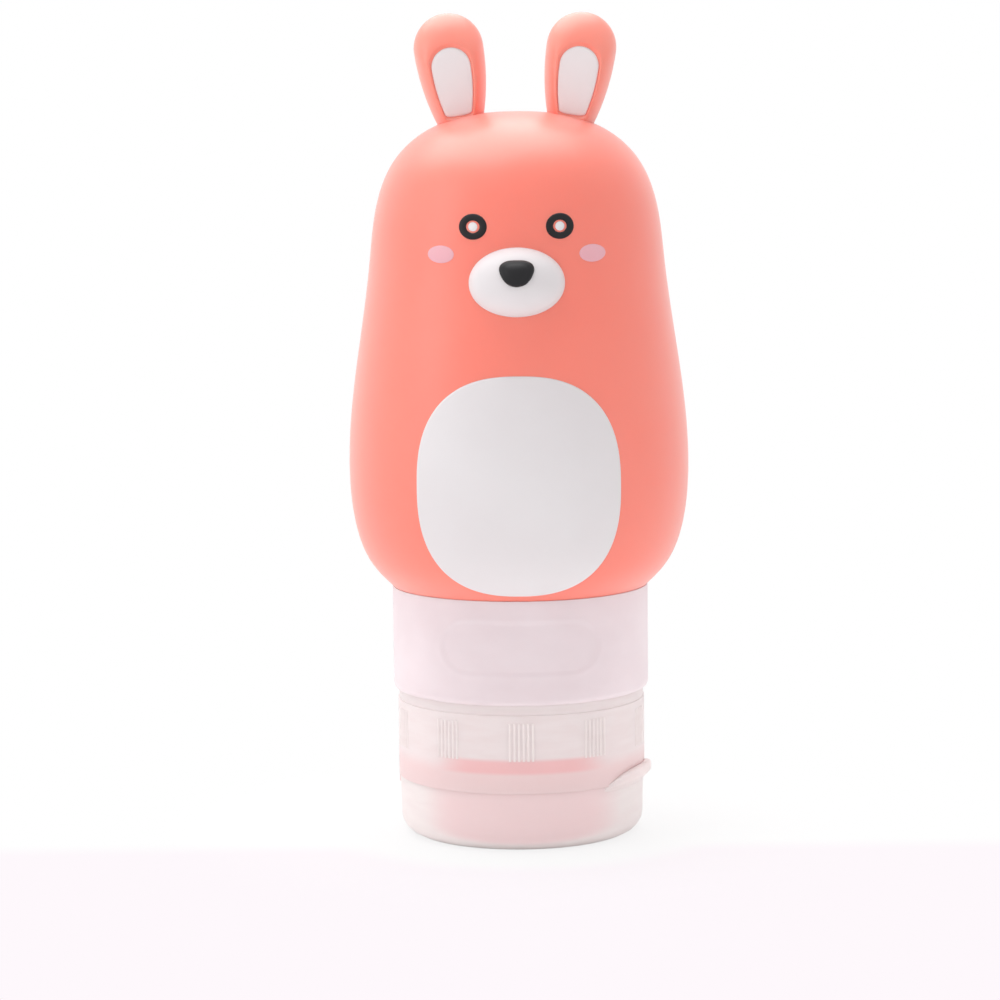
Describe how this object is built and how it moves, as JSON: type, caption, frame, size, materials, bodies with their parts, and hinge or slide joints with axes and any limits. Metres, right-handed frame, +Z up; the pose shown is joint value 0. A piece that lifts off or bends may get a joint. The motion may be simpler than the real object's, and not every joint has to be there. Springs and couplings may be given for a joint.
{
  "type": "travel silicone bottle",
  "caption": "Soft silicone squeeze bottle in the form of a long-eared animal, stood on its flip lid, with a screw cap, drip valve and turning window ring.",
  "frame": {"origin": "middle of the lid's flat foot, on the bottle's axis, where the bottle stands", "axes": "+Z up along the bottle's axis from the lid to the ears, the face looks along -Y"},
  "size_m": [0.0524, 0.0537, 0.1266],
  "materials": {
    "coral_silicone": "satin",
    "white_silicone": "satin",
    "black_silicone": "satin",
    "pink_silicone": "satin",
    "natural_plastic": "satin",
    "frosted_plastic": "satin",
    "clear_plastic": "gloss",
    "clear_silicone": "satin"
  },
  "bodies": {
    "bottle": {"bottle_body": "coral_silicone", "bottle_neck": "coral_silicone", "belly_patch": "white_silicone", "muzzle": "white_silicone", "nose": "black_silicone", "ear_left": "coral_silicone", "ear_right": "coral_silicone", "ear_inlay_left": "white_silicone", "ear_inlay_right": "white_silicone", "eye_ring_left": "black_silicone", "eye_ring_right": "black_silicone", "eye_dot_left": "white_silicone", "eye_dot_right": "white_silicone", "cheek_left": "pink_silicone", "cheek_right": "pink_silicone", "thread_sleeve": "natural_plastic", "label_ring": "natural_plastic"},
    "selector": {"window_ring": "frosted_plastic"},
    "seal": {"seal_ring": "clear_silicone"},
    "cap": {"cap_base": "clear_plastic", "drip_valve": "clear_silicone", "valve_clip": "natural_plastic", "living_hinge": "clear_plastic"},
    "lid": {"lid": "clear_plastic"}
  },
  "joints": [
    {"name": "selector_turn", "type": "hinge", "parent": "bottle", "child": "selector", "pos_m": [0, 0, 0.0305], "axis": [0, 0, 1], "continuous": true},
    {"name": "cap_lift", "type": "slide", "parent": "bottle", "child": "seal", "axis": [0, 0, -1], "range_m": [0, 0.0108]},
    {"name": "cap_turn", "type": "hinge", "parent": "seal", "child": "cap", "pos_m": [0, 0, 0.016], "axis": [0, 0, -1], "range_deg": [0, 1296]},
    {"name": "lid_flip", "type": "hinge", "parent": "cap", "child": "lid", "pos_m": [-0.01845, 0.006, 0.00912], "axis": [0.309, 0.9511, 0], "range_deg": [0, 130], "deforming": ["living_hinge"]}
  ],
  "couplings": [
    {"joint": "cap_lift", "follows": "cap_turn", "m_per_rad": 0.00047746}
  ]
}
